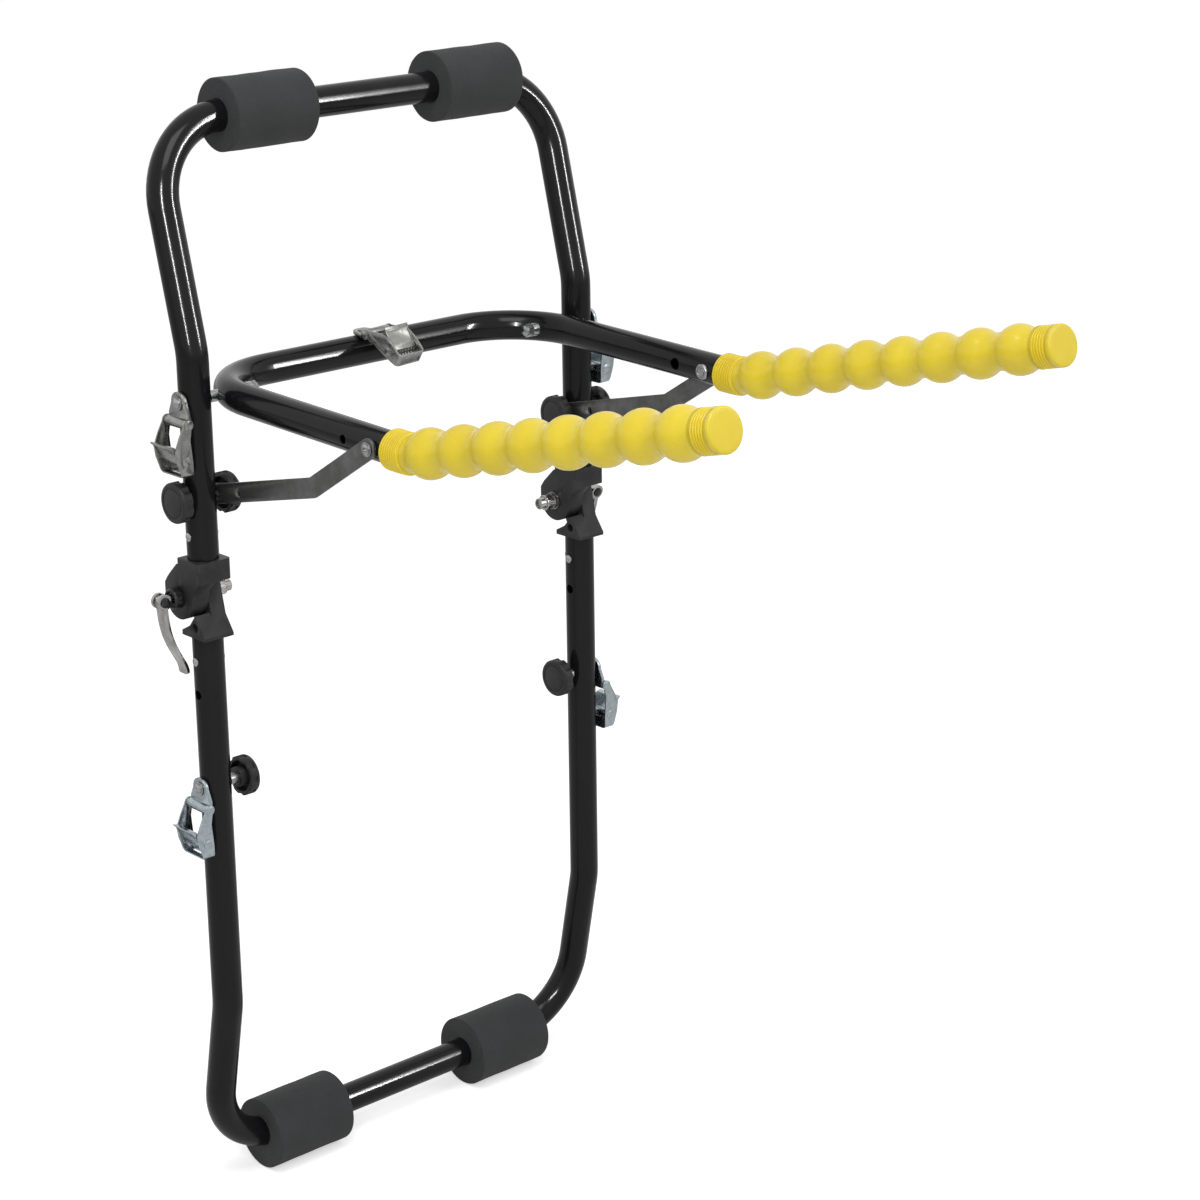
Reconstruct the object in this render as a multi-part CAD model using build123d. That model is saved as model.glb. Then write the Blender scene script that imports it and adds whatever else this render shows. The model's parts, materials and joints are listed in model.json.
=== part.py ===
from build123d import *
import os
from math import cos, pi, radians, sin, sqrt

# A trunk mounted bike rack, in millimetres. The origin is the middle of the lower crossbar,
# which rests on the bumper. +X is to the right, -Y is where the arms point, +Y is the car, +Z is up.

# Round steel tube of the three hoops
tube_diameter = 25.4
tube_wall = 1.5

# The two hoops that lie against the car
upright_spacing = 400.0
hoop_corner_radius = 66.0
knee_radius = 60.0
lower_slope_length = 151.7
lower_lean = 11.38
lower_straight_length = 355.4
upper_straight_length = 198.0
upper_slope_length = 177.8
upper_lean = 13.84
hinge_behind_uprights = 14.0

# The carrier hoop, whose two arms hold the bikes
arm_spacing = 342.0
pivot_above_hinge = 161.0
arm_droop = 1.46
arm_length = 233.5
arm_rise = 15.04
arm_bend_radius = 80.0
arm_tip_length = 328.0
rear_bar_offset = 41.1
carrier_corner_radius = 69.1
strut_rivet_before_grip = 13.0
spare_hole_behind_rivet = 33.0
spare_hole_radius = 3.6
spare_access_radius = 5.0

# Clearances: pieces that turn on a pin, pieces fixed together, and pieces that pass each other
running_clearance = 0.06
seat_clearance = 0.1
passing_gap = 0.35
cut_overrun = 2.0
edge_share = 1 / 3

# Bolts and rivets
bolt_diameter = 6.0
bolt_flange_radius = 5.8
bolt_flange_height = 0.8
bolt_head_radius = 4.0
bolt_head_edge = 0.6
bolt_head_height = 1.9
washer_thickness = 1.4
pivot_spacer_radius = 4.8
nut_across_flats = 10.0
nut_side_count = 6
nut_height = 5.0
nut_dome_height = 2.4
strut_rivet_flange_radius = 5.6
strut_rivet_flange_height = 0.7
strut_rivet_head_radius = 3.9
strut_rivet_head_edge = 0.7
strut_rivet_head_height = 1.3
strut_rivet_hollow_radius = 1.7
strut_rivet_hollow_depth = 1.4
rivet_ring_radius = 6.3
rivet_ring_height = 2.2
rivet_ring_groove = 0.6
centre_rivet_head_radius = 5.4
centre_rivet_head_height = 1.6
centre_rivet_tail_radius = 4.4
centre_rivet_tail_height = 3.0
adjust_hole_radius = 4.0
adjust_hole_below_hinge = 80.0
rivet_radius = 2.5
rivet_head_radius = 3.5
rivet_head_height = 1.9
rivet_from_hinge = 52.0

# Folding knuckle: the upper half laps the lower half along the hinge
collar_width = 32.0
collar_front = 15.0
collar_back = 15.0
collar_rise = 15.5
collar_height = 17.0
collar_corner_radius = 3.0
lug_radius = 18.3
lug_neck_front = 21.0
lug_shoulder_back = 13.5
lug_shoulder_rise = 15.5
lug_shoulder_top = 27.5
lap_gap = 0.3
block_width = 28.0
block_apex_front = 18.0
block_apex_drop = 12.6
block_front_bottom = 30.3
block_front_top = 15.0
block_top_rise = 10.2
block_bottom_drop = 31.5
block_lip = 2.6
block_tip_back = 0.6
block_tip_drop = 27.6
block_hollow = 1.6
lower_lug_radius = 14.9
ear_hole_radius = 3.6
ear_hole_depth = 7.0
ear_hole_front = 17.6
ear_hole_drop = 22.5
spigot_length = 30.0

# Quick-release skewer through each knuckle
skewer_radius = 3.5
cup_radius = 8.5
cup_inner_radius = 6.6
cup_thickness = 8.5
cup_recess = 2.4
pivot_beyond_cup = 7.9
eye_radius = 6.4
eye_width = 2.8
eye_spacing = 7.6
skewer_head_width = 4.0
skewer_head_radius = 5.0
pivot_pin_radius = 2.2
pivot_pin_cap_radius = 4.2
pivot_pin_cap_height = 1.3
lever_root_drop = 2.0
lever_root_out = 2.2
lever_root_thickness = 4.2
lever_root_width = 10.4
lever_tip_thickness = 2.5
lever_tip_drop = 64.0
lever_tip_in = 16.5
lever_tip_width = 12.0
lever_tip_corner = 1.6
right_lever_lean = 12.0
lever_drop_shares = [0.0, 0.161, 0.323, 0.5, 0.661, 0.79, 0.887, 1.0]
lever_in_shares = [0.0, 0.053, 0.134, 0.305, 0.545, 0.786, 0.947, 1.0]
skewer_washer_radius = 7.7
skewer_washer_thickness = 1.8
skewer_nut_radius = 6.8
skewer_nut_neck_radius = 7.1
skewer_nut_neck_length = 3.0
skewer_nut_grip_length = 7.8
skewer_nut_tip_radius = 5.0
skewer_nut_tip_length = 5.8
knurl_depth = 0.4
knurl_count = 26
skewer_end_recess = 1.5

# Hand knobs
knob_radius = 16.5
knob_rim_height = 9.4
knob_boss_radius = 8.4
knob_boss_height = 4.0
knob_wall = 3.4
knob_face_thickness = 3.0
knob_edge_radius = 1.8
knob_lobe_count = 8
knob_flute_radius = 5.6
knob_flute_depth = 1.25
knob_flute_lip = 3.2
knob_groove_radius = 12.4
knob_groove_width = 0.9
knob_groove_depth = 0.5
upper_knob_above_hinge = 82.0
lower_knob_below_hinge = 159.0
sleeve_length = 7.0
sleeve_radius = 4.8

# Side struts that brace the arms
strut_width = 16.0
strut_thickness = 2.5
strut_kink_behind_rivet = 70.0
strut_kink_above_knob = 30.5
strut_tail_length = 9.0
strut_spare_hole_forward = 32.2
strut_spare_hole_rise = 7.3
strut_hole_radius = 3.6
strut_slot_flare = 1.6

# Ball grips on the arms
grip_bore_clearance = 0.12
ball_count = 8
ball_radius = 19.3
ball_curve_radius = 19.6
ball_pitch = 38.7
ball_neck_radius = 14.2
first_ball_distance = 21.4
grip_collar_length = 21.5
grip_collar_radius = 16.0
grip_rib_depth = 0.9
grip_rib_count = 8
grip_end_rib_count = 5
grip_end_start = 314.5
grip_length = 333.0
grip_cap_dome = 1.4
grip_cap_edge = 5.5

# Foam rollers on the two crossbars
roller_length = 78.0
upper_roller_diameter = 58.8
lower_roller_diameter = 62.6
upper_roller_left_place = 95.5
upper_roller_right_place = 117.6
lower_roller_left_place = 114.0
lower_roller_right_place = 113.0
roller_edge_radius = 1.2
roller_bore_clearance = 0.2

# Cam buckles for the straps, all five alike
sheet_thickness = 1.5
link_eye_radius = 9.0
link_bar_distance = 15.0
link_bar_radius = 2.5
link_side_gap = 0.6
link_shoulder_distance = 8.5
buckle_width = 30.0
buckle_sheet = 1.4
buckle_length = 56.3
ear_head_radius = 4.4
ear_shoulder_along = 24.0
ear_shoulder_out = 13.8
ear_crest_along = 34.0
ear_crest_out = 18.0
ear_heel_along = 43.0
ear_heel_out = 16.6
ear_foot_out = 12.0
ear_foot_in = 2.0
ear_waist_along = 27.0
ear_waist_in = 3.6
cross_plate_length = 10.5
buckle_corner_radius = 3.6
front_wall_in = 6.8
buckle_rivet_along = 43.4
buckle_rivet_out = 8.2
buckle_rivet_radius = 2.3
buckle_rivet_head_radius = 3.8
buckle_rivet_head_height = 1.2
cam_radius = 4.1
cam_nose_length = 6.3
cam_tooth_depth = 0.9
cam_tooth_count = 3
cam_comb_radius = 0.8
cam_comb_count = 8
plate_length = 15.6
plate_thickness = 2.2
plate_angle = 151.0
plate_lip_length = 3.2
plate_flange_width = 1.2
plate_flange_rise = 0.9
centre_buckle_yaw = 7.7
centre_buckle_tilt = 28.0

tube_radius = tube_diameter / 2
tube_bore_radius = tube_radius - tube_wall
bolt_radius = bolt_diameter / 2
half_span = upright_spacing / 2
half_arms = arm_spacing / 2
spigot_radius = tube_bore_radius - seat_clearance
strut_half_width = strut_width / 2
nut_radius = nut_across_flats / sqrt(3)
strut_rivet_forward = arm_length - grip_collar_length - strut_rivet_before_grip
spare_hole_forward = strut_rivet_forward - spare_hole_behind_rivet
strut_kink_forward = strut_rivet_forward - strut_kink_behind_rivet

upright_y = -lower_slope_length * sin(radians(lower_lean))
lower_knee_z = lower_slope_length * cos(radians(lower_lean))
hinge_y = upright_y + hinge_behind_uprights
hinge_z = lower_knee_z + lower_straight_length
upper_knee_z = hinge_z + upper_straight_length
upper_bar_y = upright_y + upper_slope_length * sin(radians(upper_lean))
upper_bar_z = upper_knee_z + upper_slope_length * cos(radians(upper_lean))
pivot_z = hinge_z + pivot_above_hinge
upper_knob_z = hinge_z + upper_knob_above_hinge
lower_knob_z = hinge_z - lower_knob_below_hinge

forward = Vector(0, -cos(radians(arm_droop)), -sin(radians(arm_droop)))
upward = Vector(0, -sin(radians(arm_droop)), cos(radians(arm_droop)))
right = Vector(1, 0, 0)
tip_direction = forward * cos(radians(arm_rise)) + upward * sin(radians(arm_rise))


# A solid round bar between two points
def rod(radius, start, end):
    run = Vector(end) - Vector(start)
    return Solid.make_cylinder(radius, run.length, Plane(origin=start, z_dir=run))


# A solid turned about a line: the outline holds (radius, distance along) pairs
def turned(outline, start, direction):
    face = Plane.XZ * make_face(Polyline(*outline, close=True))
    return Plane(origin=start, z_dir=direction).location * revolve(face, Axis.Z)


# A flat outline in (y, z), made solid between two planes across the rack
def side_plate(outline, x_low, x_high):
    plane = Plane(origin=(x_low, 0, 0), x_dir=(0, 1, 0), z_dir=(1, 0, 0))
    face = plane * make_face(Polyline(*outline, close=True))
    return extrude(face, amount=x_high - x_low, dir=plane.z_dir)


# A domed screw or rivet head that stands on a point and rises along a direction
def domed_head(radius, edge, height, start, direction):
    rise = height - edge
    crown_radius = (radius**2 + rise**2) / (2 * rise)
    crown = Pos(0, 0, height - crown_radius) * Sphere(crown_radius)
    head = Solid.make_cylinder(radius, height) & crown
    return Plane(origin=start, z_dir=direction).location * head


# A domed head on a flat flange
def flanged_head(flange, dome, start, direction):
    flange_radius, flange_height = flange
    dome_start = Vector(start) + Vector(direction) * flange_height
    return rod(flange_radius, start, dome_start) + domed_head(*dome, dome_start, direction)


def bent_rod(path, radius):
    start = Plane(origin=path @ 0, z_dir=path % 0)
    return sweep(start * Circle(radius), path=path)


def bent_tube(path, outer_radius, inner_radius):
    return bent_rod(path, outer_radius) - bent_rod(path, inner_radius)


def mirrored(shape):
    return mirror(shape, about=Plane.YZ)


def both_sides(shape):
    return Compound(children=[*solids_of(shape), *solids_of(mirrored(shape))])


def solids_of(shape):
    return list(shape.solids())


# A point of the carrier hoop from its distance right, forward of the pivot and above the arms
def carrier_point(x, ahead, above=0):
    return Vector(x, upright_y, pivot_z) + forward * ahead + upward * above


def hoop_path(end_z, knee_z, bar_y, bar_z):
    points = [
        (-half_span, upright_y, end_z),
        (-half_span, upright_y, knee_z),
        (-half_span, bar_y, bar_z),
        (half_span, bar_y, bar_z),
        (half_span, upright_y, knee_z),
        (half_span, upright_y, end_z),
    ]
    radii = [knee_radius, hoop_corner_radius, hoop_corner_radius, knee_radius]
    return FilletPolyline(*points, radius=radii)


upper_tube_end = hinge_z + collar_rise + collar_height
lower_tube_end = hinge_z - block_bottom_drop
upper_path = hoop_path(upper_tube_end, upper_knee_z, upper_bar_y, upper_bar_z)
lower_path = hoop_path(lower_tube_end, lower_knee_z, 0, 0)


def tip_point(x, along):
    return carrier_point(x, arm_length) + tip_direction * along


def carrier_path():
    points = [
        tip_point(-half_arms, arm_tip_length),
        carrier_point(-half_arms, arm_length),
        carrier_point(-half_arms, -rear_bar_offset),
        carrier_point(half_arms, -rear_bar_offset),
        carrier_point(half_arms, arm_length),
        tip_point(half_arms, arm_tip_length),
    ]
    radii = [arm_bend_radius, carrier_corner_radius, carrier_corner_radius, arm_bend_radius]
    return FilletPolyline(*points, radius=radii)


arms_path = carrier_path()


# Holes right through both uprights at one height
def upright_holes(z, radius):
    reach = half_span + tube_radius + cut_overrun
    return rod(radius, (-reach, upright_y, z), (reach, upright_y, z))


def make_upper_hoop():
    hoop = bent_tube(upper_path, tube_radius, tube_bore_radius)
    hoop -= upright_holes(pivot_z, bolt_radius + running_clearance)
    hoop -= upright_holes(upper_knob_z, bolt_radius + seat_clearance)
    return hoop - upright_holes(hinge_z + rivet_from_hinge, rivet_radius + seat_clearance)


def make_lower_hoop():
    hoop = bent_tube(lower_path, tube_radius, tube_bore_radius)
    hoop -= upright_holes(lower_knob_z, bolt_radius + seat_clearance)
    hoop -= upright_holes(hinge_z - adjust_hole_below_hinge, adjust_hole_radius)
    return hoop - upright_holes(hinge_z - rivet_from_hinge, rivet_radius + seat_clearance)


# One straight line of a bore that runs across the whole carrier at a distance forward
def arm_bore(ahead, radius):
    reach = half_arms + tube_radius + cut_overrun
    return rod(radius, carrier_point(-reach, ahead), carrier_point(reach, ahead))


def make_carrier_hoop():
    hoop = bent_tube(arms_path, tube_radius, tube_bore_radius)
    hoop -= arm_bore(0, bolt_radius + seat_clearance)
    hoop -= arm_bore(spare_hole_forward, spare_hole_radius)
    hoop -= arm_bore(strut_rivet_forward, bolt_radius + seat_clearance)
    access_start = carrier_point(-half_arms, spare_hole_forward)
    access_end = carrier_point(half_arms, spare_hole_forward)
    hoop -= rod(spare_access_radius, access_start, access_end)
    low = carrier_point(0, -rear_bar_offset)
    high = carrier_point(0, -rear_bar_offset, tube_radius + cut_overrun)
    return hoop - rod(bolt_radius + seat_clearance, low, high)


# Upper knuckle half: a collar under the tube and a round lug on its left side
def make_upper_knuckle(side):
    centre = side * half_span
    bottom = hinge_z + collar_rise
    middle = upright_y + (collar_back - collar_front) / 2
    base = Plane(origin=(centre, middle, bottom))
    collar = extrude(
        base * RectangleRounded(collar_width, collar_front + collar_back, collar_corner_radius),
        amount=collar_height,
    )
    low = centre - collar_width / 2
    high = centre - lap_gap / 2
    neck = side_plate(
        [
            (hinge_y - hinge_behind_uprights - collar_front, bottom + collar_height / 2),
            (hinge_y - hinge_behind_uprights - collar_front, bottom),
            (hinge_y - lug_neck_front, hinge_z + lower_lug_radius / 2),
            (hinge_y - lug_radius, hinge_z),
            (hinge_y, hinge_z - lug_radius / 2),
            (hinge_y + lug_radius, hinge_z),
            (hinge_y + lug_radius, hinge_z + lug_radius / 2),
            (hinge_y + lug_shoulder_back, hinge_z + lug_shoulder_rise),
            (upright_y + collar_back, hinge_z + lug_shoulder_top),
        ],
        low,
        high,
    )
    lug = rod(lug_radius, (low, hinge_y, hinge_z), (high, hinge_y, hinge_z))
    spigot_top = upper_tube_end + spigot_length
    spigot = rod(spigot_radius, (centre, upright_y, bottom), (centre, upright_y, spigot_top))
    knuckle = collar + neck + lug + spigot
    knuckle -= rod(
        skewer_radius + running_clearance,
        (low - cut_overrun, hinge_y, hinge_z),
        (high + cut_overrun, hinge_y, hinge_z),
    )
    return knuckle - upright_holes(hinge_z + rivet_from_hinge, rivet_radius + seat_clearance)


# Lower knuckle half: a lug on its right side, a wedge block below it and a spigot
def make_lower_knuckle(side):
    centre = side * half_span
    bottom = hinge_z - block_bottom_drop
    left_face = centre - block_width / 2
    right_face = centre + block_width / 2
    lap = centre + lap_gap / 2
    apex = hinge_y - block_apex_front, hinge_z - block_apex_drop
    tip = hinge_y + block_tip_back, hinge_z - block_tip_drop
    hollow = (
        (apex[0] + tip[0]) / 2 - block_hollow,
        (apex[1] + tip[1]) / 2 - block_hollow,
    )
    block = side_plate(
        [
            apex,
            hollow,
            tip,
            (tip[0], bottom),
            (hinge_y - block_front_bottom, bottom),
            (hinge_y - block_front_bottom, bottom + block_lip),
            (apex[0] - block_lip, apex[1] - block_lip),
        ],
        left_face,
        right_face,
    )
    tongue = side_plate(
        [
            (hinge_y - block_front_bottom, bottom + block_lip),
            (apex[0] - block_lip, apex[1] - block_lip),
            (hinge_y - block_front_top, hinge_z + block_top_rise),
            (hinge_y, hinge_z + block_top_rise),
            (hinge_y, bottom + block_lip),
        ],
        lap,
        right_face,
    )
    lug = rod(lower_lug_radius, (lap, hinge_y, hinge_z), (right_face, hinge_y, hinge_z))
    rib = side_plate(
        [
            (hinge_y, hinge_z - lower_lug_radius),
            (hinge_y + lower_lug_radius, hinge_z),
            tip,
            (hinge_y, bottom + block_lip),
        ],
        lap,
        right_face,
    )
    spigot_end = lower_tube_end - spigot_length
    spigot = rod(spigot_radius, (centre, upright_y, spigot_end), (centre, upright_y, bottom))
    knuckle = block + tongue + lug + rib + spigot
    knuckle -= rod(
        skewer_radius + seat_clearance,
        (lap - cut_overrun, hinge_y, hinge_z),
        (right_face + cut_overrun, hinge_y, hinge_z),
    )
    ear_y = hinge_y - ear_hole_front
    ear_z = hinge_z - ear_hole_drop
    knuckle -= rod(
        ear_hole_radius,
        (left_face - cut_overrun, ear_y, ear_z),
        (left_face + ear_hole_depth, ear_y, ear_z),
    )
    return knuckle - upright_holes(hinge_z - rivet_from_hinge, rivet_radius + seat_clearance)


# Two-headed rivets, one across each upright
def make_knuckle_rivets(z):
    inner = half_span - tube_radius - seat_clearance
    outer = half_span + tube_radius + seat_clearance
    shank = rod(rivet_radius, (inner, upright_y, z), (outer, upright_y, z))
    edge = rivet_head_height * edge_share
    head = domed_head(rivet_head_radius, edge, rivet_head_height, (outer, upright_y, z), (1, 0, 0))
    tail = domed_head(rivet_head_radius, edge, rivet_head_height, (inner, upright_y, z), (-1, 0, 0))
    return both_sides(shank + head + tail)


# A foam sleeve whose bore follows the bent crossbar inside it
def make_roller(path, diameter, place, bar_y, bar_z):
    start = (place - roller_length / 2, bar_y, bar_z)
    end = (place + roller_length / 2, bar_y, bar_z)
    sleeve = rod(diameter / 2, start, end)
    sleeve = fillet(sleeve.edges().filter_by(GeomType.CIRCLE), roller_edge_radius)
    return sleeve - bent_rod(path, tube_radius + roller_bore_clearance)


# One hand knob, built outward from the face that it is screwed against
def make_knob(start, direction):
    top = knob_boss_height + knob_rim_height
    outline = [
        (0, 0),
        (knob_boss_radius, 0),
        (knob_boss_radius, top - knob_face_thickness),
        (knob_radius - knob_wall, top - knob_face_thickness),
        (knob_radius - knob_wall, knob_boss_height),
        (knob_radius, knob_boss_height),
        (knob_radius, top - knob_edge_radius),
        (knob_radius - knob_edge_radius * edge_share, top - knob_edge_radius * edge_share),
        (knob_radius - knob_edge_radius, top),
        (knob_groove_radius, top),
        (knob_groove_radius, top - knob_groove_depth),
        (knob_groove_radius - knob_groove_width, top - knob_groove_depth),
        (knob_groove_radius - knob_groove_width, top),
        (0, top),
    ]
    knob = turned(outline, (0, 0, 0), (0, 0, 1))
    flute_place = knob_radius + knob_flute_radius - knob_flute_depth
    for lobe in range(knob_lobe_count):
        angle = 2 * pi * lobe / knob_lobe_count
        x, y = flute_place * cos(angle), flute_place * sin(angle)
        knob -= rod(knob_flute_radius, (x, y, 0), (x, y, top - knob_flute_lip))
    knob -= rod(bolt_radius + running_clearance, (0, 0, -cut_overrun), (0, 0, top - knob_face_thickness))
    return Plane(origin=start, z_dir=direction).location * knob


strut_inner_x = half_arms + tube_radius + passing_gap
strut_outer_x = strut_inner_x + strut_thickness
outer_knob_x = half_span + tube_radius + passing_gap
upper_inner_knob_x = strut_inner_x - passing_gap
lower_inner_knob_x = half_span - tube_radius - sleeve_length - 2 * seat_clearance
link_face_x = half_span + tube_radius + passing_gap
knob_bolt_reach = knob_boss_height + knob_rim_height - knob_face_thickness - passing_gap


# The stud that carries an outer and an inner knob through each upper upright
def make_upper_knob_studs():
    start = (upper_inner_knob_x - knob_bolt_reach, upright_y, upper_knob_z)
    end = (outer_knob_x + knob_bolt_reach, upright_y, upper_knob_z)
    return both_sides(rod(bolt_radius, start, end))


# Bolt with its head outside a side buckle
def side_bolt(inner_x, z):
    seat = link_face_x + 2 * sheet_thickness + passing_gap
    shank = rod(bolt_radius, (inner_x, upright_y, z), (seat, upright_y, z))
    start = (seat, upright_y, z)
    flange = bolt_flange_radius, bolt_flange_height
    dome = bolt_head_radius, bolt_head_edge, bolt_head_height
    return shank + flanged_head(flange, dome, start, (1, 0, 0))


def make_lower_strap_bolts():
    return both_sides(side_bolt(lower_inner_knob_x - knob_bolt_reach, lower_knob_z))


def make_lower_sleeves():
    outer = half_span - tube_radius - seat_clearance
    start = (outer - sleeve_length, upright_y, lower_knob_z)
    end = (outer, upright_y, lower_knob_z)
    sleeve = rod(sleeve_radius, start, end)
    bore_start = (outer - sleeve_length - cut_overrun, upright_y, lower_knob_z)
    bore_end = (outer + cut_overrun, upright_y, lower_knob_z)
    return both_sides(sleeve - rod(bolt_radius + seat_clearance, bore_start, bore_end))


# Where the bent carrier tube stands at the pivot bolt
pivot_bend_ahead = carrier_corner_radius - rear_bar_offset
pivot_tube_x = half_arms - carrier_corner_radius + sqrt(carrier_corner_radius**2 - pivot_bend_ahead**2)
pivot_bend_depth = sqrt(carrier_corner_radius**2 - pivot_bend_ahead**2)
pivot_tube_reach = tube_radius * carrier_corner_radius / pivot_bend_depth
pivot_wall_lean = nut_radius * pivot_bend_ahead / pivot_bend_depth
pivot_nut_x = pivot_tube_x - pivot_tube_reach - pivot_wall_lean - washer_thickness


def make_pivot_bolts():
    inner_end = pivot_nut_x - nut_height
    return both_sides(side_bolt(inner_end, pivot_z))


# A spacer between each upright and the carrier, hollowed to sit on the bent tube
def make_pivot_spacers():
    outer = half_span - tube_radius - passing_gap
    spacer = rod(pivot_spacer_radius, (pivot_tube_x, upright_y, pivot_z), (outer, upright_y, pivot_z))
    spacer -= rod(
        bolt_radius + seat_clearance,
        (pivot_tube_x - cut_overrun, upright_y, pivot_z),
        (outer + cut_overrun, upright_y, pivot_z),
    )
    spacer -= bent_rod(arms_path, tube_radius + seat_clearance)
    return both_sides(max(solids_of(spacer), key=lambda piece: piece.center().X))


# A saddle washer under each pivot nut, hollowed in the same way
def make_pivot_washers():
    outer = pivot_tube_x
    washer = rod(nut_radius, (pivot_nut_x, upright_y, pivot_z), (outer, upright_y, pivot_z))
    washer -= rod(
        bolt_radius + seat_clearance,
        (pivot_nut_x - cut_overrun, upright_y, pivot_z),
        (outer + cut_overrun, upright_y, pivot_z),
    )
    washer -= bent_rod(arms_path, tube_radius + seat_clearance)
    return both_sides(min(solids_of(washer), key=lambda piece: piece.center().X))


# A cap nut: a hexagon with a dome over the end of its bolt
def cap_nut(start, direction):
    body = extrude(RegularPolygon(nut_radius, nut_side_count), amount=nut_height)
    dome_radius = nut_across_flats / 2 - rivet_ring_groove
    edge = nut_dome_height * edge_share
    body += domed_head(dome_radius, edge, nut_dome_height, (0, 0, nut_height), (0, 0, 1))
    body -= rod(bolt_radius + seat_clearance, (0, 0, -cut_overrun), (0, 0, nut_height))
    return Plane(origin=start, z_dir=direction).location * body


def make_pivot_nuts():
    start = (pivot_nut_x - seat_clearance, upright_y, pivot_z)
    return both_sides(cap_nut(start, (-1, 0, 0)))


# The flared end of a strut rivet: a low ring with steps, pressed flat against the arm
def rivet_ring(start, direction):
    step = (rivet_ring_radius - bolt_radius) / 2
    outline = [
        (bolt_radius + seat_clearance, 0),
        (rivet_ring_radius, 0),
        (rivet_ring_radius, rivet_ring_height - rivet_ring_groove),
        (rivet_ring_radius - rivet_ring_groove, rivet_ring_height),
        (rivet_ring_radius - step, rivet_ring_height),
        (rivet_ring_radius - step, rivet_ring_height - rivet_ring_groove),
        (bolt_radius + seat_clearance, rivet_ring_height - rivet_ring_groove),
    ]
    return turned(outline, start, direction)


strut_rivet_seat = strut_outer_x + passing_gap
centre_rivet_tail_top = sqrt(tube_bore_radius**2 - centre_rivet_tail_radius**2) - seat_clearance


# Rivets that carry the struts' front ends, through the arms from outside
def make_strut_rivets():
    rivets = []
    flange = strut_rivet_flange_radius, strut_rivet_flange_height
    dome = strut_rivet_head_radius, strut_rivet_head_edge, strut_rivet_head_height
    top = strut_rivet_seat + strut_rivet_flange_height + strut_rivet_head_height
    for side in (-1, 1):
        seat = carrier_point(side * strut_rivet_seat, strut_rivet_forward)
        inner = half_arms - tube_radius - seat_clearance - rivet_ring_height
        end = carrier_point(side * inner, strut_rivet_forward)
        rivet = rod(bolt_radius, end, seat) + flanged_head(flange, dome, seat, right * side)
        hollow_end = carrier_point(side * (top - strut_rivet_hollow_depth), strut_rivet_forward)
        hollow_start = carrier_point(side * (top + cut_overrun), strut_rivet_forward)
        rivets.append(rivet - rod(strut_rivet_hollow_radius, hollow_end, hollow_start))
    return Compound(children=rivets)


def make_strut_rivet_rings():
    rings = []
    for side in (-1, 1):
        face = side * (half_arms - tube_radius - seat_clearance)
        rings.append(rivet_ring(carrier_point(face, strut_rivet_forward), right * -side))
    return Compound(children=rings)


# A blind rivet for the centre buckle: a low head outside and a tail inside the tube
def make_centre_rivet():
    above = tube_radius + 2 * passing_gap + 2 * sheet_thickness
    seat = carrier_point(0, -rear_bar_offset, above)
    tail_top = carrier_point(0, -rear_bar_offset, centre_rivet_tail_top)
    tail_end = carrier_point(0, -rear_bar_offset, centre_rivet_tail_top - centre_rivet_tail_height)
    rivet = rod(bolt_radius, tail_end, seat) + rod(centre_rivet_tail_radius, tail_end, tail_top)
    edge = centre_rivet_head_height * edge_share
    return rivet + domed_head(centre_rivet_head_radius, edge, centre_rivet_head_height, seat, upward)


# One straight leg of a strut: a bar of the strut's width between two (y, z) places
def strut_leg(start, end):
    run = Vector(end[0] - start[0], end[1] - start[1], 0)
    edge = Vector(-run.Y, run.X, 0).normalized() * strut_half_width
    corners = [
        (start[0] + edge.X, start[1] + edge.Y),
        (end[0] + edge.X, end[1] + edge.Y),
        (end[0] - edge.X, end[1] - edge.Y),
        (start[0] - edge.X, start[1] - edge.Y),
    ]
    return side_plate(corners, strut_inner_x, strut_outer_x)


def strut_hole(radius, place):
    low = strut_inner_x - cut_overrun
    high = strut_outer_x + cut_overrun
    return rod(radius, (low, *place), (high, *place))


# A flat strut with one kink, a row of holes and a slot that opens rearward over the knob stud
def make_strut():
    front = carrier_point(0, strut_rivet_forward)
    front = front.Y, front.Z
    stud = upright_y, upper_knob_z
    kink = upright_y - strut_kink_forward, upper_knob_z + strut_kink_above_knob
    rear_run = Vector(stud[0] - kink[0], stud[1] - kink[1], 0).normalized()
    tail = stud[0] + rear_run.X * strut_tail_length, stud[1] + rear_run.Y * strut_tail_length
    plate = strut_leg(kink, tail) + strut_leg(front, kink)
    for place in (front, kink):
        plate += rod(strut_half_width, (strut_inner_x, *place), (strut_outer_x, *place))
    plate -= strut_hole(bolt_radius + running_clearance, front)
    spare = stud[0] - strut_spare_hole_forward, stud[1] + strut_spare_hole_rise
    plate -= strut_hole(strut_hole_radius, spare)
    slot_radius = bolt_radius + passing_gap
    plate -= strut_hole(slot_radius, stud)
    beyond = strut_tail_length + cut_overrun
    across_slot = Vector(-rear_run.Y, rear_run.X, 0)
    mouth = []
    for sign in (1, -1):
        near = across_slot * (sign * slot_radius)
        far = across_slot * (sign * (slot_radius + strut_slot_flare)) + rear_run * beyond
        mouth.append((stud[0] + near.X, stud[1] + near.Y))
        mouth.insert(0, (stud[0] + far.X, stud[1] + far.Y))
    outline = [mouth[1], mouth[2], mouth[3], mouth[0]]
    low = strut_inner_x - cut_overrun
    return plate - side_plate(outline, low, strut_outer_x + cut_overrun)


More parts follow.
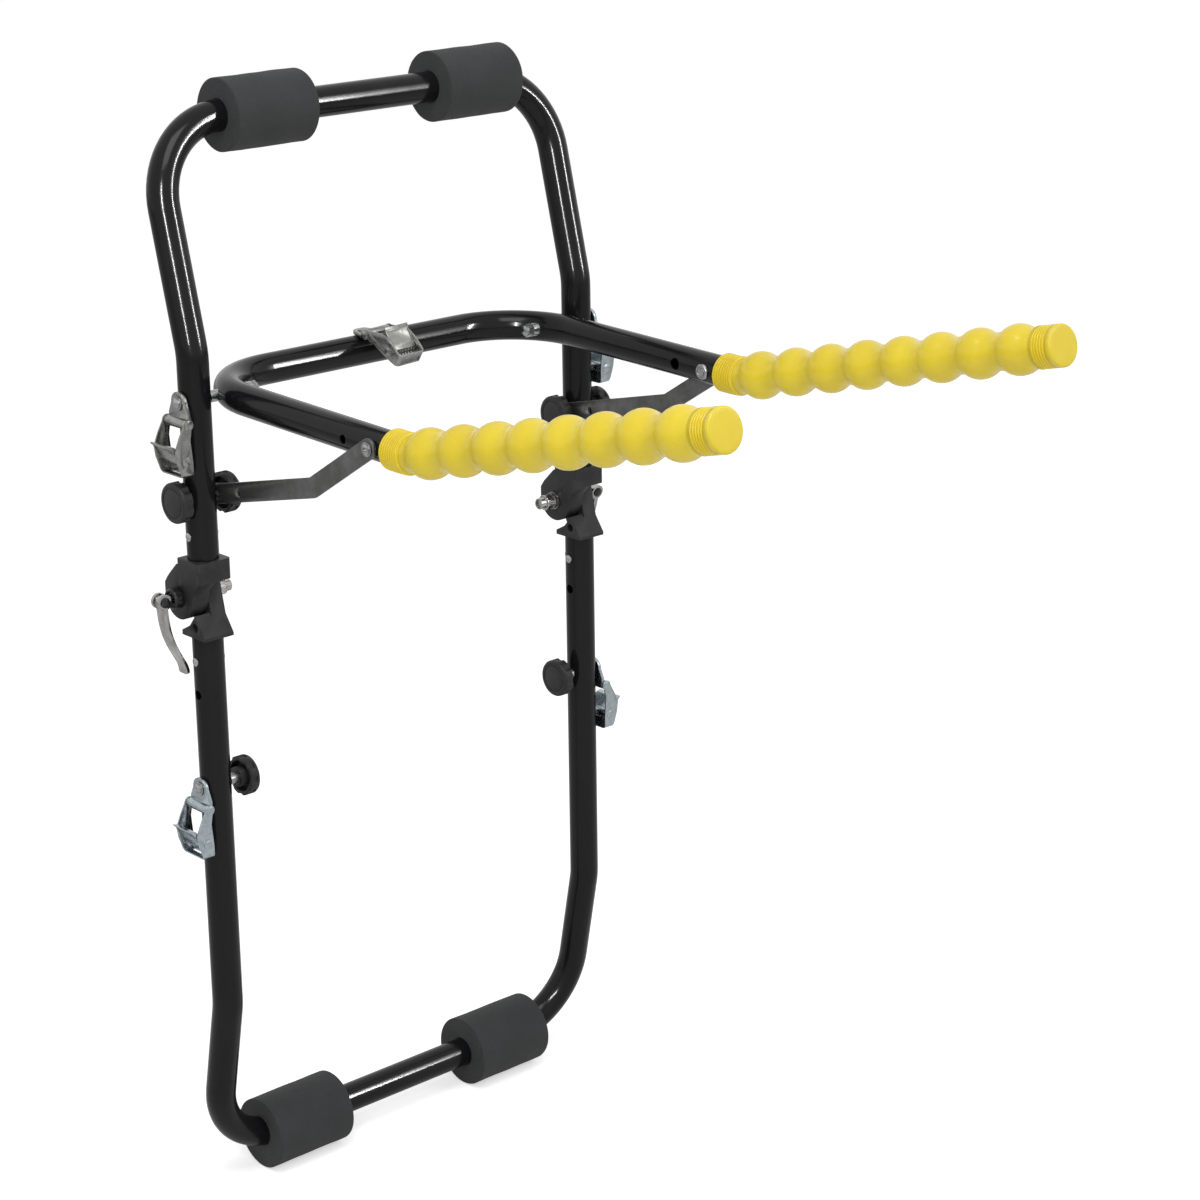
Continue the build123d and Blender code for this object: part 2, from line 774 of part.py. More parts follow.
# The outline of one ball and the valleys beside it, as arcs of (radius, distance along)
def ball_arcs(centre):
    half = ball_pitch / 2
    middle = ball_radius - ball_curve_radius
    neck = ball_neck_radius - middle
    valley_radius = (half**2 + neck**2 - ball_curve_radius**2) / (2 * (ball_curve_radius - neck))
    share = ball_curve_radius / (ball_curve_radius + valley_radius)
    valley_middle = ball_neck_radius + valley_radius
    edge_along = half * share
    edge_out = middle + (valley_middle - middle) * share
    rise = ThreePointArc(
        (edge_out, centre - edge_along), (ball_radius, centre), (edge_out, centre + edge_along)
    )
    fall = half - edge_along
    turn = fall / 2
    lift = valley_middle - sqrt(valley_radius**2 - turn**2)
    before = ThreePointArc(
        (ball_neck_radius, centre - half), (lift, centre - half + turn), (edge_out, centre - edge_along)
    )
    after = ThreePointArc(
        (edge_out, centre + edge_along), (lift, centre + half - turn), (ball_neck_radius, centre + half)
    )
    return [before, rise, after]


# Square ribs round a collar, as (radius, distance along) pairs
def rib_points(start, end, count):
    pitch = (end - start) / count
    points = []
    for rib in range(count):
        low = start + rib * pitch
        points += [(grip_collar_radius, low), (grip_collar_radius, low + pitch / 2)]
        points += [(grip_collar_radius - grip_rib_depth, low + pitch / 2)]
        points += [(grip_collar_radius - grip_rib_depth, low + pitch)]
    return points


# One ball grip: a ribbed collar on the arm, eight balls and a ribbed, closed end
def make_grip(side):
    x = side * half_arms
    vertex = carrier_point(x, arm_length)
    first = first_ball_distance - ball_pitch / 2
    last = first + ball_count * ball_pitch
    edges = [Line((0, first), (ball_neck_radius, first))]
    for ball in range(ball_count):
        edges += ball_arcs(first_ball_distance + ball * ball_pitch)
    end = rib_points(grip_end_start, grip_length - grip_cap_edge, grip_end_rib_count)
    end = [(ball_neck_radius, last), (grip_collar_radius, grip_end_start), *end[1:]]
    end += [
        (grip_collar_radius, grip_length - grip_cap_edge),
        (grip_collar_radius, grip_length - grip_cap_dome),
        (grip_collar_radius - grip_cap_dome, grip_length),
        (0, grip_length),
        (0, first),
    ]
    edges += Polyline(*end).edges()
    face = Plane.XZ * make_face(edges)
    balls = Plane(origin=vertex, z_dir=tip_direction).location * revolve(face, Axis.Z)
    ribs = [(0, 0), *rib_points(0, grip_collar_length - grip_rib_depth, grip_rib_count)]
    ribs += [(0, grip_collar_length - grip_rib_depth)]
    collar_start = carrier_point(x, arm_length - grip_collar_length)
    collar = turned(ribs, collar_start, forward)
    joint_path = FilletPolyline(
        carrier_point(x, arm_length - grip_collar_length),
        vertex,
        tip_point(x, grip_collar_length),
        radius=arm_bend_radius,
    )
    core = bent_rod(joint_path, grip_collar_radius - grip_rib_depth)
    bore_path = FilletPolyline(
        carrier_point(x, arm_length - grip_collar_length - cut_overrun),
        vertex,
        tip_point(x, arm_tip_length + seat_clearance),
        radius=arm_bend_radius,
    )
    return balls + core + collar - bent_rod(bore_path, tube_radius + grip_bore_clearance)


skewer_nut_length = skewer_nut_neck_length + skewer_nut_grip_length + skewer_nut_tip_length


# The right lever and its pin lean back a little from straight down
def leaned(shape):
    return shape.rotate(Axis((0, hinge_y, hinge_z), (1, 0, 0)), right_lever_lean)


# The skewer's outer side is its cup and lever, and its inner side is its nut
def skewer_places(side):
    if side > 0:
        outer_face = half_span + block_width / 2
        inner_face = half_span - collar_width / 2
    else:
        outer_face = half_span + collar_width / 2
        inner_face = half_span - block_width / 2
    cup_end = outer_face + seat_clearance + cup_thickness
    pivot = cup_end + pivot_beyond_cup
    washer_end = inner_face - seat_clearance - skewer_washer_thickness
    nut_end = washer_end - passing_gap - skewer_nut_length
    return outer_face, cup_end, pivot, inner_face, washer_end, nut_end


def hinge_point(side, x):
    return Vector(side * x, hinge_y, hinge_z)


# The skewer: its end narrows between the lever's eyes to a flat round head on the lever's pin
def make_skewer(side):
    places = skewer_places(side)
    pivot, nut_end = places[2], places[5]
    centre = hinge_point(side, pivot)
    neck = hinge_point(side, pivot - eye_radius - passing_gap)
    bolt = rod(skewer_radius, hinge_point(side, nut_end + skewer_end_recess), neck)
    bolt += rod(skewer_head_width / 2 - seat_clearance, neck, centre)
    width = Vector(0, skewer_head_width / 2, 0)
    bolt += rod(skewer_head_radius, centre - width, centre + width)
    reach = Vector(0, skewer_head_width, 0)
    return bolt - rod(pivot_pin_radius + seat_clearance, centre - reach, centre + reach)


def make_cup(side):
    outer_face, cup_end = skewer_places(side)[:2]
    outline = [
        (skewer_radius + seat_clearance, 0),
        (cup_radius, 0),
        (cup_radius, cup_thickness - cup_recess / 2),
        (cup_radius - cup_recess / 2, cup_thickness),
        (cup_inner_radius, cup_thickness),
        (cup_inner_radius - cup_recess / 2, cup_thickness - cup_recess),
        (skewer_radius + seat_clearance, cup_thickness - cup_recess),
    ]
    start = hinge_point(side, outer_face + seat_clearance)
    return turned(outline, start, right * side)


def make_skewer_washer(side):
    inner_face, washer_end = skewer_places(side)[3:5]
    start = hinge_point(side, inner_face - seat_clearance)
    end = hinge_point(side, washer_end)
    washer = rod(skewer_washer_radius, start, end)
    return washer - rod(skewer_radius + seat_clearance, start, end)


def make_lever_pin(side):
    centre = hinge_point(side, skewer_places(side)[2])
    half = eye_spacing / 2 + eye_width / 2 + passing_gap
    pin = rod(pivot_pin_radius, centre - Vector(0, half, 0), centre + Vector(0, half, 0))
    edge = pivot_pin_cap_height * edge_share
    for sign in (-1, 1):
        start = centre + Vector(0, sign * half, 0)
        out = (0, sign, 0)
        pin += domed_head(pivot_pin_cap_radius, edge, pivot_pin_cap_height, start, out)
    return pin


# Lever: two eyes on the pin and a curved blade that comes back in beside the tube
def make_lever(side):
    pivot = skewer_places(side)[2]
    travel = lever_root_out + lever_tip_in
    root_z = hinge_z - lever_root_drop
    tip_z = hinge_z - lever_tip_drop
    outer, inner = [], []
    for drop_share, in_share in zip(lever_drop_shares, lever_in_shares):
        x = pivot + lever_root_out - travel * in_share
        z = root_z + (tip_z - root_z) * drop_share
        thickness = lever_root_thickness + (lever_tip_thickness - lever_root_thickness) * drop_share
        outer.append((x, z))
        inner.append((x - thickness, z))
    profile = make_face(
        [
            Spline(*outer),
            Line(outer[-1], inner[-1]),
            Spline(*inner),
            Line(inner[0], outer[0]),
        ]
    )
    plane = Plane(origin=(0, hinge_y + lever_tip_width / 2, 0), x_dir=(1, 0, 0), z_dir=(0, -1, 0))
    blade = extrude(plane * profile, amount=lever_tip_width, dir=plane.z_dir)
    half_root, half_tip = lever_root_width / 2, lever_tip_width / 2
    front = side_plate(
        [
            (hinge_y - half_root, root_z),
            (hinge_y + half_root, root_z),
            (hinge_y + half_tip, tip_z + lever_tip_corner),
            (hinge_y + half_tip - lever_tip_corner, tip_z),
            (hinge_y - half_tip + lever_tip_corner, tip_z),
            (hinge_y - half_tip, tip_z + lever_tip_corner),
        ],
        pivot - 2 * lever_tip_in,
        pivot + lever_tip_in,
    )
    blade = blade & front
    centre = Vector(pivot, hinge_y, hinge_z)
    fork = Vector(0, skewer_head_width / 2 + passing_gap, 0)
    blade -= rod(skewer_head_radius + passing_gap, centre - fork, centre + fork)
    for sign in (-1, 1):
        middle = centre + Vector(0, sign * eye_spacing / 2, 0)
        half = Vector(0, eye_width / 2, 0)
        blade += rod(eye_radius, middle - half, middle + half)
    reach = Vector(0, lever_tip_width, 0)
    blade -= rod(pivot_pin_radius + running_clearance, centre - reach, centre + reach)
    return blade if side > 0 else mirrored(blade)


# The adjusting nut: a plain neck against its washer, a knurled grip and a narrow tip
def make_skewer_nut(side):
    washer_end = skewer_places(side)[4]
    grip_end = skewer_nut_neck_length + skewer_nut_grip_length
    outline = [
        (skewer_radius + running_clearance, 0),
        (skewer_nut_neck_radius, 0),
        (skewer_nut_neck_radius, skewer_nut_neck_length),
        (skewer_nut_radius, skewer_nut_neck_length),
        (skewer_nut_radius, grip_end - knurl_depth),
        (skewer_nut_radius - knurl_depth, grip_end),
        (skewer_nut_tip_radius, grip_end),
        (skewer_nut_tip_radius, skewer_nut_length - knurl_depth),
        (skewer_nut_tip_radius - knurl_depth, skewer_nut_length),
        (skewer_radius + running_clearance, skewer_nut_length),
    ]
    nut = turned(outline, (0, 0, 0), (0, 0, 1))
    for groove in range(knurl_count):
        angle = 2 * pi * groove / knurl_count
        x, y = skewer_nut_radius * cos(angle), skewer_nut_radius * sin(angle)
        low = skewer_nut_neck_length + knurl_depth
        nut -= rod(knurl_depth, (x, y, low), (x, y, grip_end - 2 * knurl_depth))
    start = hinge_point(side, washer_end - passing_gap)
    return Plane(origin=start, z_dir=right * -side).location * nut


# Cam buckles are built about their bolt: x along the strap, y across it, z away from the tube
bar_out = passing_gap + link_bar_radius + running_clearance + sheet_thickness
ear_outer = buckle_width / 2
ear_inner = ear_outer - buckle_sheet


def buckle_pin(radius, along, out):
    pin = rod(radius, (along, -ear_outer, out), (along, ear_outer, out))
    head = buckle_rivet_head_radius, buckle_rivet_head_height * edge_share, buckle_rivet_head_height
    for sign in (-1, 1):
        pin += domed_head(*head, (along, sign * ear_outer, out), (0, sign, 0))
    return pin


# A folded sheet link: a round eye on the bolt that flares out to a barrel round the bar
def make_link():
    flare = ear_inner - link_side_gap
    eye = Circle(link_eye_radius) + make_face(
        Polyline(
            (0, link_eye_radius),
            (link_shoulder_distance, flare),
            (link_bar_distance, flare),
            (link_bar_distance, -flare),
            (link_shoulder_distance, -flare),
            (0, -link_eye_radius),
            close=True,
        )
    )
    plate = extrude(Plane(origin=(0, 0, passing_gap)) * eye, amount=2 * sheet_thickness)
    low, high = -flare, flare
    barrel = link_bar_radius + running_clearance + sheet_thickness
    plate += rod(barrel, (link_bar_distance, low, bar_out), (link_bar_distance, high, bar_out))
    bore = link_bar_radius + running_clearance
    low, high = low - cut_overrun, high + cut_overrun
    plate -= rod(bore, (link_bar_distance, low, bar_out), (link_bar_distance, high, bar_out))
    return plate - rod(bolt_radius + running_clearance, (0, 0, -cut_overrun), (0, 0, ear_crest_out))


def along_strap_plate(outline, y_low, y_high):
    plane = Plane(origin=(0, y_high, 0), x_dir=(1, 0, 0), z_dir=(0, -1, 0))
    face = plane * make_face(Polyline(*outline, close=True))
    return extrude(face, amount=y_high - y_low, dir=plane.z_dir)


# A flat sheet in plan with two round corners at the buckle's foot, made solid right through it
def rounded_plan(half_width, end, corner_radius):
    start = link_bar_distance - ear_head_radius - cut_overrun
    plan = make_face(
        Polyline(
            (start, -half_width), (end, -half_width), (end, half_width), (start, half_width), close=True
        )
    )
    plan = fillet(plan.vertices().group_by(Axis.X)[-1], corner_radius)
    return extrude(Plane(origin=(0, 0, -ear_crest_out)) * plan, amount=2 * ear_crest_out + cut_overrun)


# Two ears bent from one strip round the front, and a foot plate, with the strap window between
def make_buckle_frame():
    outline = [
        (link_bar_distance, bar_out + ear_head_radius),
        (ear_shoulder_along, ear_shoulder_out),
        (ear_crest_along, ear_crest_out),
        (ear_heel_along, ear_heel_out),
        (buckle_length, ear_foot_out),
        (buckle_length, ear_foot_in),
        (buckle_length - cross_plate_length, ear_foot_in),
        (ear_waist_along, ear_waist_in),
        (link_bar_distance + ear_head_radius, bar_out - ear_head_radius / 2),
        (link_bar_distance, bar_out),
    ]
    frame = along_strap_plate(outline, -ear_outer, ear_outer)
    head_start, head_end = (link_bar_distance, -ear_outer, bar_out), (link_bar_distance, ear_outer, bar_out)
    frame += rod(ear_head_radius, head_start, head_end)
    outside = rounded_plan(ear_outer, buckle_length, buckle_corner_radius)
    inside_corner = buckle_corner_radius - buckle_sheet
    inside = rounded_plan(ear_inner, buckle_length - buckle_sheet, inside_corner)
    frame = (frame & outside) - inside
    mouth_half = ear_outer - buckle_corner_radius
    mouth = [
        (buckle_length - cross_plate_length, ear_foot_in - cut_overrun),
        (buckle_length + cut_overrun, ear_foot_in - cut_overrun),
        (buckle_length + cut_overrun, front_wall_in),
        (buckle_length - cross_plate_length, front_wall_in),
    ]
    frame -= along_strap_plate(mouth, -mouth_half, mouth_half)
    foot = [
        (buckle_length - cross_plate_length, ear_foot_in),
        (buckle_length, ear_foot_in),
        (buckle_length, ear_foot_in + buckle_sheet),
        (buckle_length - cross_plate_length, ear_foot_in + buckle_sheet),
    ]
    frame += along_strap_plate(foot, -ear_outer, ear_outer) & outside
    reach = ear_outer + cut_overrun
    for radius, along, out in (
        (link_bar_radius, link_bar_distance, bar_out),
        (buckle_rivet_radius, buckle_rivet_along, buckle_rivet_out),
    ):
        frame -= rod(radius + seat_clearance, (along, -reach, out), (along, reach, out))
    return frame


# The bar that the link folds around and the rivet that the cam turns on
def make_buckle_pins():
    bar = buckle_pin(link_bar_radius, link_bar_distance, bar_out)
    rivet = buckle_pin(buckle_rivet_radius, buckle_rivet_along, buckle_rivet_out)
    return Compound(children=[bar, rivet])


# Cam lever: a barrel on the rivet, a toothed nose over the foot plate and a thumb plate
def make_cam():
    half = ear_inner - passing_gap
    centre = (buckle_rivet_along, buckle_rivet_out)
    cam = rod(cam_radius, (centre[0], -half, centre[1]), (centre[0], half, centre[1]))
    angle = radians(plate_angle)
    ahead = Vector(cos(angle), sin(angle), 0)
    aside = Vector(sin(angle), -cos(angle), 0)
    low, high = cam_radius - plate_thickness, cam_radius
    corners = []
    for along, over in (
        (0, low),
        (plate_length, low),
        (plate_length + plate_lip_length, high + plate_lip_length / 2),
        (plate_length + plate_lip_length - plate_thickness, high + plate_lip_length / 2),
        (plate_length - plate_thickness, high),
        (0, high),
    ):
        point = ahead * along + aside * over
        corners.append((centre[0] + point.X, centre[1] + point.Y))
    cam += along_strap_plate(corners, -half, half)
    flange = []
    for along, over in (
        (cam_radius, high - plate_flange_rise),
        (plate_length, high - plate_flange_rise),
        (plate_length, high + plate_flange_rise),
        (cam_radius, high + plate_flange_rise),
    ):
        point = ahead * along + aside * over
        flange.append((centre[0] + point.X, centre[1] + point.Y))
    cam += along_strap_plate(flange, -half, plate_flange_width - half)
    cam += along_strap_plate(flange, half - plate_flange_width, half)
    floor = ear_foot_in + buckle_sheet + passing_gap
    nose = [(centre[0], centre[1])]
    step = cam_nose_length / cam_tooth_count
    for tooth in range(cam_tooth_count):
        nose.append((centre[0] + tooth * step, floor + cam_tooth_depth))
        nose.append((centre[0] + (tooth + 1) * step, floor))
    nose.append((centre[0] + cam_nose_length, floor + cam_tooth_depth))
    cam += along_strap_plate(nose, -half, half)
    comb_pitch = 2 * half / cam_comb_count
    comb_along = centre[0] + cam_radius
    comb_top = centre[1] + cam_radius
    for tooth in range(cam_comb_count):
        across = -half + comb_pitch * (tooth + 1 / 2)
        low, high = (comb_along, across, floor - cut_overrun), (comb_along, across, comb_top)
        cam -= rod(cam_comb_radius, low, high)
    reach = ear_outer + cut_overrun
    bore = buckle_rivet_radius + running_clearance
    return cam - rod(bore, (centre[0], -reach, centre[1]), (centre[0], reach, centre[1]))


# Where each buckle's bolt meets its tube, and which way its strap and its face point
def buckle_planes():
    planes = {}
    for side, name in ((-1, "left"), (1, "right")):
        for z, level in ((pivot_z, "upper"), (lower_knob_z, "lower")):
            origin = (side * (half_span + tube_radius), upright_y, z)
            planes[f"{level}_{name}"] = Plane(origin=origin, x_dir=(0, 0, -1), z_dir=(side, 0, 0))
    yaw = radians(centre_buckle_yaw)
    along = forward * cos(yaw) + right * sin(yaw)
    origin = carrier_point(0, -rear_bar_offset, tube_radius)
    planes["centre"] = Plane(origin=origin, x_dir=along, z_dir=upward)
    return planes


# The centre buckle hangs from its bar, so its frame, pins and cam tilt about that bar
def hanging(name, shape):
    if name != "centre":
        return shape
    bar = Axis((link_bar_distance, 0, bar_out), (0, 1, 0))
    return Compound(children=[piece.rotate(bar, centre_buckle_tilt) for piece in solids_of(shape)])


def make_parts():
    parts = {
        "upper_hoop": make_upper_hoop(),
        "lower_hoop": make_lower_hoop(),
        "carrier_hoop": make_carrier_hoop(),
        "upper_knuckle_rivets": make_knuckle_rivets(hinge_z + rivet_from_hinge),
        "lower_knuckle_rivets": make_knuckle_rivets(hinge_z - rivet_from_hinge),
        "upper_knob_studs": make_upper_knob_studs(),
        "lower_strap_bolts": make_lower_strap_bolts(),
        "lower_spacer_sleeves": make_lower_sleeves(),
        "pivot_bolts": make_pivot_bolts(),
        "pivot_spacers": make_pivot_spacers(),
        "pivot_saddle_washers": make_pivot_washers(),
        "pivot_cap_nuts": make_pivot_nuts(),
        "strut_rivets": make_strut_rivets(),
        "strut_rivet_rings": make_strut_rivet_rings(),
        "centre_buckle_rivet": make_centre_rivet(),
    }
    for side, name in ((-1, "left"), (1, "right")):
        parts |= make_side(side, name)
    washers = [make_skewer_washer(-1), make_skewer_washer(1)]
    parts["skewers"] = Compound(children=[make_skewer(-1), leaned(make_skewer(1)), *washers])
    parts["skewer_cups"] = Compound(children=[make_cup(-1), make_cup(1)])
    parts["lever_pins"] = Compound(children=[make_lever_pin(-1), leaned(make_lever_pin(1))])
    pieces = {
        "link": make_link(),
        "frame": make_buckle_frame(),
        "pins": make_buckle_pins(),
        "cam": make_cam(),
    }
    for place, plane in buckle_planes().items():
        for piece, shape in pieces.items():
            posed = shape if piece == "link" else hanging(place, shape)
            parts[f"{place}_buckle_{piece}"] = plane.location * posed
    return parts


def make_side(side, name):
    out = right * side
    upper_place = upper_roller_right_place if side > 0 else -upper_roller_left_place
    lower_place = lower_roller_right_place if side > 0 else -lower_roller_left_place
    strut = make_strut()
    return {
        f"upper_knuckle_{name}": make_upper_knuckle(side),
        f"lower_knuckle_{name}": make_lower_knuckle(side),
        f"upper_roller_{name}": make_roller(
            upper_path, upper_roller_diameter, upper_place, upper_bar_y, upper_bar_z
        ),
        f"lower_roller_{name}": make_roller(lower_path, lower_roller_diameter, lower_place, 0, 0),
        f"grip_{name}": make_grip(side),
        f"strut_{name}": strut if side > 0 else mirrored(strut),
        f"outer_knob_{name}": make_knob((side * outer_knob_x, upright_y, upper_knob_z), out),
        f"inner_knob_{name}": make_knob((side * upper_inner_knob_x, upright_y, upper_knob_z), -out),
        f"lower_knob_{name}": make_knob((side * lower_inner_knob_x, upright_y, lower_knob_z), -out),
        f"release_lever_{name}": leaned(make_lever(side)) if side > 0 else make_lever(side),
        f"skewer_nut_{name}": make_skewer_nut(side),
    }


if __name__ == "__main__":
    os.makedirs("parts", exist_ok=True)
    for node, shape in make_parts().items():
        export_step(shape, f"parts/{node}.step")
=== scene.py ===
import json
from math import cos, pi, radians, sin, sqrt, tan

import bmesh
import bpy
from mathutils import Matrix, Vector, noise


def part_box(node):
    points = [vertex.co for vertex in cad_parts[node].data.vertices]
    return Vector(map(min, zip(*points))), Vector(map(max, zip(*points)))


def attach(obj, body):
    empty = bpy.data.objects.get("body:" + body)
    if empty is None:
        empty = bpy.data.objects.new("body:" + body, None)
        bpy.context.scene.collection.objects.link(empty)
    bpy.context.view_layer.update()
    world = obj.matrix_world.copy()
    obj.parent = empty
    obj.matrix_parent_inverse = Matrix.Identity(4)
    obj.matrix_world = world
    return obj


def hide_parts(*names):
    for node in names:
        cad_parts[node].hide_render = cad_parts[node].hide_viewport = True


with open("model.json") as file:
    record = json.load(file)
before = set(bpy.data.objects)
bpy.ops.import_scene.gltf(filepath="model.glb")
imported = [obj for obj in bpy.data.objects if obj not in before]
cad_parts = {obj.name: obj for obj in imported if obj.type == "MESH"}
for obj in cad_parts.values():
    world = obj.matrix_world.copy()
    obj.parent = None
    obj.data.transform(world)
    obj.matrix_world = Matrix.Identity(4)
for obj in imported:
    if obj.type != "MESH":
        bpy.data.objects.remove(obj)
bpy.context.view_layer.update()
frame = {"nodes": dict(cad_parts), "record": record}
nodes = frame["nodes"]
record = frame["record"]
bodyOf = {node: body for body, members in record["behaviour"]["bodies"].items() for node in members}
slotOf = {entry["node"]: entry["material_slot"] for entry in record["subparts"]}


# One socket of a node tree, so that a mask can be written as sums and products
class Wire:
    def __init__(self, board, socket):
        self.board = board
        self.socket = socket

    def __add__(self, other):
        return self.board.maths("ADD", self, other)

    def __mul__(self, other):
        return self.board.maths("MULTIPLY", self, other)

    __radd__ = __add__
    __rmul__ = __mul__


# The node tree of a material or the world: add() takes any node's type, values or wires, and settings
class Board:
    def __init__(self, owner):
        self.owner = owner
        owner.use_nodes = True
        self.tree = owner.node_tree
        self.tree.nodes.clear()

    def add(self, kind, sockets=None, settings=None, out=0):
        node = self.tree.nodes.new(kind)
        for key, value in (settings or {}).items():
            setattr(node, key, value)
        for key, value in (sockets or {}).items():
            if isinstance(value, Wire):
                self.tree.links.new(value.socket, node.inputs[key])
            else:
                node.inputs[key].default_value = value
        return Wire(self, node.outputs[out]) if node.outputs else None

    def maths(self, operation, first, second):
        return self.add("ShaderNodeMath", {0: first, 1: second}, {"operation": operation})

    def place(self, scale=(1, 1, 1), turn=(0, 0, 0)):
        spot = self.add("ShaderNodeTexCoord", out="Object")
        return self.add("ShaderNodeMapping", {"Vector": spot, "Scale": scale, "Rotation": turn})

    def grain(self, scale, detail=3, roughness=0.5, at=None):
        sockets = {"Vector": at or self.place(), "Scale": scale, "Detail": detail, "Roughness": roughness}
        return self.add("ShaderNodeTexNoise", sockets)

    def ramp(self, wire, low, high):
        return self.add("ShaderNodeMapRange", {0: wire, 1: low, 2: high}, {"clamp": True})

    def blend(self, mask, first, second):
        sockets = {"Factor": mask, 6: first, 7: second}
        return self.add("ShaderNodeMix", sockets, {"data_type": "RGBA"}, out=2)

    def bump(self, height, strength, distance):
        return self.add("ShaderNodeBump", {"Height": height, "Strength": strength, "Distance": distance})

    def finish(self, sockets):
        surface = self.add("ShaderNodeBsdfPrincipled", sockets)
        self.add("ShaderNodeOutputMaterial", {"Surface": surface})
        return self.owner


def materialBoard(name):
    return Board(bpy.data.materials.new(name))


def rgb(red, green, blue):
    return (red, green, blue, 1)


# In each finish, a mark's number is the scale of its noise, and its span is where it starts and is full.
# Gloss black powder coat: faint orange peel, soft dull patches, a little dust and a few scuffs
powderCoat = {
    "colour": rgb(0.0075, 0.0075, 0.0085), "dusty": rgb(0.02, 0.02, 0.021), "rough": 0.13, "ior": 1.27,
    "peel": 420, "peelStrength": 0.04, "peelDepth": 0.0004,
    "patch": 14, "patchSpan": (0.5, 0.75), "dust": 1500, "dustSpan": (0.68, 0.76),
    "scuff": 70, "scuffSpan": (0.66, 0.72), "scuffStretch": (1, 1, 0.3),
}


def makePowderCoat():
    board = materialBoard("glossBlackCoat")
    peel = board.grain(powderCoat["peel"], 2)
    patch = board.ramp(board.grain(powderCoat["patch"], 4), *powderCoat["patchSpan"])
    dust = board.ramp(board.grain(powderCoat["dust"], 2), *powderCoat["dustSpan"])
    scratched = board.grain(powderCoat["scuff"], 5, 0.7, board.place(powderCoat["scuffStretch"]))
    scuff = board.ramp(scratched, *powderCoat["scuffSpan"])
    dulled = patch * 0.25 + dust * 0.5 + scuff * 0.3
    return board.finish({
        "Base Color": board.blend(dulled, powderCoat["colour"], powderCoat["dusty"]),
        "Roughness": patch * 0.05 + peel * 0.03 + scuff * 0.12 + powderCoat["rough"],
        "IOR": powderCoat["ior"],
        "Normal": board.bump(peel, powderCoat["peelStrength"], powderCoat["peelDepth"]),
    })


# Moulded black nylon: satin, with the fine pebble of a spark-eroded mould and paler rubbed places
nylon = {
    "colour": rgb(0.014, 0.014, 0.0145), "worn": rgb(0.045, 0.045, 0.046), "rough": 0.38, "ior": 1.36,
    "pebble": 1100, "pebbleStrength": 0.2, "pebbleDepth": 0.0003,
    "patch": 55, "patchSpan": (0.45, 0.72), "scratch": 260, "scratchSpan": (0.66, 0.74),
    "scratchStretch": (1, 0.15, 1), "scratchTurn": (0.4, 0.2, 0.5),
}


def makeNylon():
    board = materialBoard("blackNylon")
    pebble = board.grain(nylon["pebble"], 3, 0.6)
    patch = board.ramp(board.grain(nylon["patch"], 6, 0.6), *nylon["patchSpan"])
    drawn = board.place(nylon["scratchStretch"], nylon["scratchTurn"])
    scratch = board.ramp(board.grain(nylon["scratch"], 3, 0.6, drawn), *nylon["scratchSpan"])
    return board.finish({
        "Base Color": board.blend(patch * 0.4 + scratch * 0.3, nylon["colour"], nylon["worn"]),
        "Roughness": patch * 0.1 + pebble * 0.1 + nylon["rough"],
        "IOR": nylon["ior"],
        "Normal": board.bump(pebble, nylon["pebbleStrength"], nylon["pebbleDepth"]),
    })


# Closed-cell foam: charcoal, with small cells cut open all over; the colour has painted shade in the cell
# pits and is darker or lighter at random in patches
foam = {
    "colour": rgb(0.047, 0.048, 0.05), "deep": rgb(0.026, 0.027, 0.028), "rough": 0.78, "ior": 1.3,
    "cells": 1300, "cellSpan": (0.1, 0.75), "fine": 2600, "patch": 30, "patchSpan": (0.3, 0.7),
    "cellStrength": 0.6, "cellDepth": 0.0006, "sheen": 0.06, "sheenRough": 0.5,
}


def makeFoam():
    board = materialBoard("charcoalFoam")
    at = board.place()
    cells = board.add("ShaderNodeTexVoronoi", {"Vector": at, "Scale": foam["cells"]})
    fine = board.grain(foam["fine"], 2, 0.6, at)
    patch = board.grain(foam["patch"], 4, 0.55, at)
    pits = board.ramp(cells, *foam["cellSpan"])
    # Painted shade: the deep colour fills the cell pits, where the bump is lowest, mixed with random patches
    # of tone
    pitShadeAndPatch = pits * 0.6 + board.ramp(patch, *foam["patchSpan"]) * 0.4
    return board.finish({
        "Base Color": board.blend(pitShadeAndPatch, foam["deep"], foam["colour"]),
        "Roughness": patch * 0.1 + foam["rough"],
        "IOR": foam["ior"],
        "Sheen Weight": foam["sheen"],
        "Sheen Roughness": foam["sheenRough"],
        "Normal": board.bump(pits * 0.7 + fine * 0.3, foam["cellStrength"], foam["cellDepth"]),
    })


# Yellow soft vinyl of the ball grips, with faint mottling and a few handling marks
vinyl = {
    "colour": rgb(0.77, 0.6, 0.022), "deep": rgb(0.62, 0.45, 0.01), "mark": rgb(0.42, 0.31, 0.04),
    "rough": 0.2, "ior": 1.53, "grain": 900, "grainStrength": 0.12, "grainDepth": 0.0003,
    "patch": 22, "patchSpan": (0.38, 0.75), "marks": 330, "markSpan": (0.7, 0.76),
    "glow": 0.06, "glowReach": 0.003, "glowColour": (1.0, 0.7, 0.1),
}


def makeVinyl():
    board = materialBoard("yellowVinyl")
    grain = board.grain(vinyl["grain"], 3, 0.6)
    patch = board.ramp(board.grain(vinyl["patch"], 5, 0.6), *vinyl["patchSpan"])
    marks = board.ramp(board.grain(vinyl["marks"], 4, 0.7), *vinyl["markSpan"])
    mottled = board.blend(patch * 0.5 + grain * 0.14, vinyl["colour"], vinyl["deep"])
    return board.finish({
        "Base Color": board.blend(marks * 0.35, mottled, vinyl["mark"]),
        "Roughness": patch * 0.06 + grain * 0.06 + vinyl["rough"],
        "IOR": vinyl["ior"],
        "Subsurface Weight": vinyl["glow"],
        "Subsurface Radius": vinyl["glowColour"],
        "Subsurface Scale": vinyl["glowReach"],
        "Normal": board.bump(grain, vinyl["grainStrength"], vinyl["grainDepth"]),
    })


